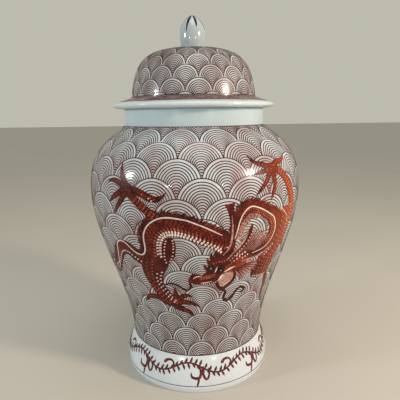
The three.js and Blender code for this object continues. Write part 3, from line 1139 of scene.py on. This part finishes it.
WHISKER = (
    (-2.6, 160, 2.4), (-3.8, 156, 2.2), (-3.6, 151, 2), (-3.3, 146, 2), (-4.5, 142.3, 2), (-6.5, 141.8, 2),
    (-8.5, 144.5, 1.9), (-11, 148, 1.8), (-13, 149.4, 1.8), (-16, 149.5, 1.6), (-19.8, 145.6, 0.5),
)
BEARD = (
    (11.6, 149, 2.6), (12.4, 145, 2.6), (14, 141.4, 2.6), (16, 139.4, 2.4), (17.5, 136, 2.4),
    (16.8, 130.4, 2.4), (17.4, 125.4, 2.6), (19, 122.8, 2.6), (21, 124.8, 2.6), (23, 129, 2.4),
    (24.4, 134, 2.4), (26, 137.8, 2.4), (28.2, 139.2, 2.4), (30, 138, 2.4), (30.6, 135, 2.2),
    (29, 131.6, 2), (26.6, 132.8, 0.7),
)
REAR_BAND = (
    (16, 181, 8), (20, 178.4, 8), (25, 179.6, 7), (31, 180.4, 7), (37, 182.6, 8), (42, 187, 9),
    (45.4, 193, 9),
)
REAR_CLAW = ((47, 150, 3), (49, 141, 6), (50.6, 131, 5), (50.8, 122, 4), (51.6, 114, 3), (52.4, 107, 0.5))
SHADES = (
    ((15.6, 180, 1), (20, 191, 2.6), (23.6, 201, 2.6), (25.6, 212, 0.8)),
    ((13.4, 186, 1), (16.6, 197, 2.4), (17.2, 214, 1.8), (16.4, 232, 0.6)),
    ((24, 175.6, 1), (31, 177.6, 2.4), (38, 181, 2.4), (44, 188, 0.8)),
)
LOWER_TEETH = ((13.4, 147.2), (15.4, 145.6), (17.6, 148.6), (19.4, 152.4), (20.2, 158))
UPPER_TEETH = ((3.4, 150), (7, 149.6), (10.6, 151.6), (13, 156), (15, 161))
NOSTRILS = ((0.2, 158.6), (2.2, 159.2))
EYES = ((7.6, 171), (13, 167.4))
# Each layer of an eye: its name, finish, width and lift.
EYE_LAYERS = (("rims", "eye_green", 9.0, 0.8), ("irises", "ink_stroke", 9.2, 0.98),
              ("pupils", "eye_green", 2.4, 1.12))
PALE_SCALE_ROWS = (
    ((46.4, 231), (49.6, 226), (53, 219), (54.4, 211), (53.4, 203)),
    ((14.6, 197), (16, 194.6), (18, 192.6)), ((17.4, 187), (20, 184), (23, 184.4), (26.4, 187)),
    ((34.4, 151), (38, 149.6), (42.4, 148.4), (46.4, 148.8)),
    ((14.6, 170.5), (18, 175), (22, 181), (26, 188)),
    ((15.6, 168.4), (19.4, 172.6), (23.6, 178.4), (28, 184)), ((-21.8, 252), (-19, 247)),
    ((39, 176), (42.6, 182), (45, 190)),
)


def along_row(shape, path, gap, length, width, lift=0.5, aside=0.0, turned_out=0.0, tip=0.45,
              start=0.0, end=1.0):
    """Dabs at even gaps along a line, moved aside from it and turned out from its heading."""
    count = max(2, round(path.total * (end - start) / gap))
    for number in range(count):
        share = between(start, end, (number + 0.5) / count)
        angle, along, heading, _ = path.at(share)
        place = beside(path.surface, angle, along, -heading.y * aside, heading.x * aside)
        way = Matrix.Rotation(turned_out, 2) @ heading
        dab(shape, path.surface, place[0], place[1], way, length, width, lift, tip)


def fringe(shape, path, gap, length, side, lean=1.0, start=0.0, end=1.0, width=3.0):
    """A comb of tapered hairs that stand out from a line on one side, leaning along it."""
    count = round(path.total * (end - start) / gap)
    for number in range(count):
        share = between(start, end, (number + 0.5) / count)
        angle, along, heading, _ = path.at(share)
        away = Matrix.Rotation(side * lean * random.uniform(0.85, 1.15), 2) @ heading
        reach_out = length * random.uniform(0.7, 1.25)
        place = beside(path.surface, angle, along, away.x * reach_out * 0.3, away.y * reach_out * 0.3)
        dab(shape, path.surface, place[0], place[1], away, reach_out, width, lift=0.3, tip=0.85, sides=6)


def scale_rows(shape, inside, longest, parts, gap, length, width, turned_out, first=0.0, last=1.0):
    """Rows of scales over a panel, each row at its own part of the panel's breadth."""
    count = round(longest * (last - first) / gap)
    for number, part in enumerate(parts):
        for place in range(count):
            share = between(first, last, (place + 0.5 * (number % 2) + 0.25) / count)
            angle, along, heading = inside(share, part)
            way = Matrix.Rotation(turned_out, 2) @ heading
            dab(shape, body_side, angle, along, way, length, width, lift=0.5)


def build_dragon():
    body = bmesh.new()
    arch, arch_length = panel(body, body_side, ARCH, rows=9)
    thigh, thigh_length = panel(body, body_side, THIGH, rows=5, lift=0.2)
    finger, finger_length = panel(body, body_side, FINGER, rows=3, lift=0.26)
    tail = stroke(body, body_side, TAIL, lift=0.17, rows=4, swell=0.15, broad=1.25)
    thicken(body)
    lay("dragon_front_body", body, "dragon_red")

    coil = bmesh.new()
    loop, loop_length = panel(coil, body_side, LOOP, rows=5, lift=0.2)
    stroke(coil, body_side, REAR_BAND, rows=3, lift=0.26)
    flank, flank_length = panel(coil, body_side, FLANK, rows=5, lift=0.22)
    thicken(coil)
    lay("dragon_rear_body", coil, "dragon_red")

    claws = bmesh.new()
    for talon in FOOT_TALONS + LEFT_PAW + RIGHT_PAW + (REAR_CLAW,):
        stroke(claws, body_side, talon, rows=2, lift=0.24, step=2.2, broad=1.3)
    thicken(claws)
    lay("dragon_limbs_and_talons", claws, "dragon_red")

    lines = bmesh.new()
    for line in (PIPING, LOOP_PIPING):
        stroke(lines, body_side, line, lift=0.5, swell=0.1, step=1.8)
    thicken(lines)
    lay("dragon_piping", lines, "piping_white")

    comb = bmesh.new()
    arch_crest = Path(body_side, [(pair[0], pair[1]) for pair in ARCH])
    fringe(comb, arch_crest, 1.5, 9.0, 1, lean=1.0, start=0.02, end=0.97)
    fringe(comb, Path(body_side, [(pair[0], pair[1]) for pair in LOOP]), 1.6, 8.0, 1, lean=1.0, end=0.8)
    fringe(comb, tail, 1.9, 15.0, -1, lean=1.2, start=0.16, end=0.95)
    fringe(comb, tail, 1.9, 13.0, 1, lean=1.2, start=0.3, end=0.95)
    fringe(comb, Path(body_side, [(pair[2], pair[3]) for pair in FLANK]), 2.4, 5.0, 1, lean=0.7)
    for arm in (LEFT_PAW[-1], RIGHT_PAW[-1]):
        for side in (-1, 1):
            fringe(comb, Path(body_side, arm), 2.2, 9.0, side, lean=1.0, end=0.75, width=2.4)
    lay("dragon_back_fringe", comb, "dragon_red")

    pale = bmesh.new()
    scale_rows(pale, arch, arch_length, (0.92,), 5.3, 4.4, 4.4, -1.3, first=0.03, last=0.94)
    scale_rows(pale, arch, arch_length, (0.79,), 5.3, 4.6, 3.6, -1.3, first=0.05, last=0.92)
    scale_rows(pale, finger, finger_length, (0.82, 0.2), 4.0, 2.8, 2.4, -1.2, first=0.15, last=0.95)
    scale_rows(pale, thigh, thigh_length, (0.86, 0.66), 5.4, 3.6, 2.6, -1.1, first=0.3, last=0.9)
    along_row(pale, tail, 4.2, 3.4, 2.6, aside=4.4, turned_out=1.2, start=0.08, end=0.9)
    for row in PALE_SCALE_ROWS:
        along_row(pale, Path(body_side, row), 3.6, 3.2, 2.6, turned_out=1.0)
    lay("dragon_belly_scales", pale, "scale_pale")

    mid = bmesh.new()
    scale_rows(mid, arch, arch_length, (0.65,), 5.3, 4.4, 3.4, -1.3, first=0.03, last=0.95)
    scale_rows(mid, thigh, thigh_length, (0.42, 0.2), 5.4, 3.2, 2.2, -1.1, first=0.1, last=0.9)
    scale_rows(mid, loop, loop_length, (0.6, 0.8), 4.6, 3.4, 2.6, 1.2, first=0.05, last=0.8)
    scale_rows(mid, flank, flank_length, (0.16, 0.34, 0.52), 5.2, 3.6, 2.6, 1.1)
    scale_rows(mid, flank, flank_length, (0.7, 0.88), 4.4, 3.8, 3.2, 1.1)
    for arm, start in ((RIGHT_PAW[-1], 0.12), (LEFT_PAW[-1], 0.2)):
        for aside in (-2.4, 0.2, 2.8):
            along_row(mid, Path(body_side, arm), 4.6, 3.2, 2.4, aside=aside, turned_out=0.8, start=start)
    for talon in LEFT_PAW[:-1] + RIGHT_PAW[:-1] + FOOT_TALONS:
        along_row(mid, Path(body_side, talon), 4.8, 2.6, 1.8, turned_out=0.8, end=0.7)
    lay("dragon_back_scales", mid, "scale_warm")

    red = bmesh.new()
    scale_rows(red, arch, arch_length, (0.51, 0.38, 0.26), 5.3, 3.8, 2.2, -1.3, first=0.03, last=0.95)
    for aside in (-4.2, -1.6, 1.0):
        along_row(red, tail, 4.8, 3.2, 1.9, aside=aside, turned_out=1.2, end=0.92)
    lay("dragon_dark_scales", red, "scale_red")

    build_dragon_head()


def strands(shape, root, bends, tips, count, width, lift):
    """Tapered locks that start at one place and open out like a fan between two last ones."""
    for number in range(count):
        part = number / (count - 1)
        bend = tuple(between(first, last, part) for first, last in zip(*bends))
        tip = tuple(between(first, last, part) for first, last in zip(*tips))
        points = (root + (width,), bend + (width,), tip + (0.3,))
        stroke(shape, body_side, points, lift=lift, swell=0.05, rows=1, step=3)


def build_dragon_head():
    mane = bmesh.new()
    strands(mane, (19, 177), ((25, 194), (31, 187)), ((30, 214), (42.4, 203)), 8, 7.0, 0.24)
    strands(mane, (20, 168), ((24.6, 159), (29, 171)), ((27, 149), (38.4, 167)), 7, 9.0, 0.24)
    lining = stroke(mane, body_side, LOOP_LINING, lift=0.3)
    thicken(mane)
    lay("dragon_mane_wash", mane, "mane_mauve")

    hairs = bmesh.new()
    strands(hairs, (19, 177), ((25, 193), (31, 187)), ((31, 212), (42, 204)), 8, 1.2, 0.34)
    strands(hairs, (20, 168), ((24.6, 160), (29, 171)), ((28, 151), (38.6, 168)), 7, 1.5, 0.34)
    thicken(hairs)
    for aside in (-2.2, 0.8):
        along_row(hairs, lining, 4.4, 2.6, 2.2, lift=0.5, aside=aside, turned_out=0.6, start=0.05, end=0.95)
    lay("dragon_mane_hairs", hairs, "dragon_red")

    head = bmesh.new()
    panel(head, body_side, SNOUT, rows=5, lift=0.34, swell=0.25)
    panel(head, body_side, HORN, rows=2, lift=0.32)
    ear = stroke(head, body_side, EAR, lift=0.36)
    for tuft in BROW_TUFTS:
        stroke(head, body_side, tuft, lift=0.38, swell=0.1)
    thicken(head)
    lay("dragon_head", head, "dragon_red")

    shading = bmesh.new()
    for line in SHADES:
        stroke(shading, body_side, line, lift=0.6, swell=0.05)
    thicken(shading)
    lay("dragon_shading", shading, "mane_mauve")

    lights = bmesh.new()
    for line in FACE_LIGHTS:
        stroke(lights, body_side, line, lift=0.78, swell=0.05, rows=1, step=1.8)
    thicken(lights)
    along_row(lights, ear, 3.6, 2.2, 1.8, lift=0.7, aside=-2.4, start=0.1, end=0.9)
    lay("dragon_face_lights", lights, "scale_pale")

    cheek = bmesh.new()
    panel(cheek, body_side, CHEEK, rows=3, lift=0.42)
    snout = stroke(cheek, body_side, SNOUT_WASH, lift=0.62, swell=0.05)
    thicken(cheek)
    lay("dragon_cheek", cheek, "cheek_brown")

    freckles = bmesh.new()
    for aside in (-1.3, 1.1):
        along_row(freckles, snout, 2.9, 2.0, 1.3, 0.84, aside=aside, turned_out=0.7, start=0.05, end=0.95)
    along_row(freckles, Path(body_side, BROW_LINE), 3.0, 2.4, 1.5, lift=0.8, turned_out=1.2)
    lay("dragon_snout_freckles", freckles, "mouth_pink")

    mouth = bmesh.new()
    panel(mouth, body_side, MOUTH, rows=3, lift=0.3)
    thicken(mouth)
    lay("dragon_mouth", mouth, "mouth_pink")

    outline = bmesh.new()
    for line in (JAW, WHISKER, BEARD):
        stroke(outline, body_side, line, lift=0.44, swell=0.12, step=1.8, broad=1.25)
    thicken(outline)
    for angle, level in NOSTRILS:
        way = Vector((1, 0.4)).normalized()
        dab(outline, body_side, angle, body_side.length_at(level), way, 1.6, 1.2, lift=0.7)
    lay("dragon_whiskers_and_jaw", outline, "dragon_dark")

    teeth = bmesh.new()
    along_row(teeth, Path(body_side, LOWER_TEETH), 1.9, 2.6, 1.4, lift=0.6, turned_out=1.5, tip=0.8)
    along_row(teeth, Path(body_side, UPPER_TEETH), 2.3, 3.0, 1.6, lift=0.75, turned_out=-1.5, tip=0.85)
    lay("dragon_teeth", teeth, "tooth_white")

    for name, finish, size, lift in EYE_LAYERS:
        eyes = bmesh.new()
        for angle, level in EYES:
            along = body_side.length_at(level)
            dab(eyes, body_side, angle, along, Vector((1, 0)), size, size, lift, tip=0, sides=20)
        lay(f"dragon_eye_{name}", eyes, finish)


# ---------------------------------------------------------------- finishes
def shades(*colours):
    return [rgb(*colour) for colour in colours]


WAVE_WASH = {"row": row_height, "colour": rgb(156, 66, 54), "least": 0.3, "tint": 0.44}
DOME_WASH = {"row": dome_row_height, "colour": rgb(112, 48, 46), "least": 0.6, "tint": 0.5}
# Each glaze's shade where it lies thin and where it pooled, and anything else of its own.
GLAZES = {
    "foot_glaze": (shades((220, 231, 240), (206, 216, 226)), {}),
    "wave_glaze": (shades((208, 221, 229), (194, 201, 207)), {"wash": WAVE_WASH}),
    "dome_glaze": (shades((210, 219, 226), (190, 189, 192)), {"wash": DOME_WASH}),
    "neck_glaze": (shades((196, 216, 227), (184, 204, 215)), {}),
    "brim_glaze": (shades((212, 226, 234), (198, 212, 220)), {}),
    "finial_glaze": (shades((180, 194, 202), (160, 174, 184)), {}),
    "bare_porcelain": (shades((222, 217, 207), (208, 202, 191)), {"roughness": 0.6}),
}
# Each enamel's dark, middle and light shade, and anything else of its own, such as the colour of its painted
# warm light on the jar's right side.
ENAMELS = {
    "wave_line": (shades((42, 17, 17), (62, 30, 29), (90, 49, 46)), {"roughness": 0.2}),
    "vine_red": (shades((62, 20, 22), (90, 36, 36), (122, 58, 54)), {}),
    "brim_wash": (shades((78, 52, 50), (118, 92, 89), (172, 152, 148)), {}),
    "ink_stroke": (shades((18, 10, 12), (30, 20, 20), (52, 34, 32)), {}),
    "dragon_red": (shades((36, 5, 2), (78, 13, 6), (128, 38, 18)), {"painted_warm_light": rgb(188, 78, 28)}),
    "dragon_dark": (shades((38, 6, 4), (66, 13, 8), (98, 28, 18)), {"painted_warm_light": rgb(122, 42, 18)}),
    "scale_pale": (shades((212, 180, 168), (234, 214, 206), (242, 234, 230)), {}),
    "scale_red": (shades((92, 20, 10), (128, 44, 26), (172, 92, 66)), {}),
    "scale_warm": (shades((122, 42, 24), (160, 78, 54), (204, 134, 106)), {"painted_warm_light": rgb(240, 172, 116)}),
    "piping_white": (shades((206, 190, 180), (224, 212, 204), (236, 230, 224)), {}),
    "mane_mauve": (shades((124, 70, 68), (166, 122, 118), (208, 180, 176)), {}),
    "mouth_pink": (shades((138, 84, 76), (182, 134, 124), (216, 186, 178)), {}),
    "cheek_brown": (shades((84, 20, 8), (122, 42, 18), (170, 84, 42)), {}),
    "tooth_white": (shades((210, 200, 192), (226, 218, 210), (238, 234, 228)), {}),
    "eye_green": (shades((120, 138, 116), (148, 164, 144), (184, 194, 176)), {}),
}
materials = {name: glaze(name, *colours, **own) for name, (colours, own) in GLAZES.items()}
materials |= {name: enamel(name, *colours, **own) for name, (colours, own) in ENAMELS.items()}

set_up_camera()
light_studio()
lay_floor()
build_foot_wall()
build_jar_wall()
build_neck_wall()
build_brim_wall()
build_ring_wall()
build_dome_wall()
build_bud()
build_waves()
build_foot_painting()
build_brim_painting()
build_dragon()
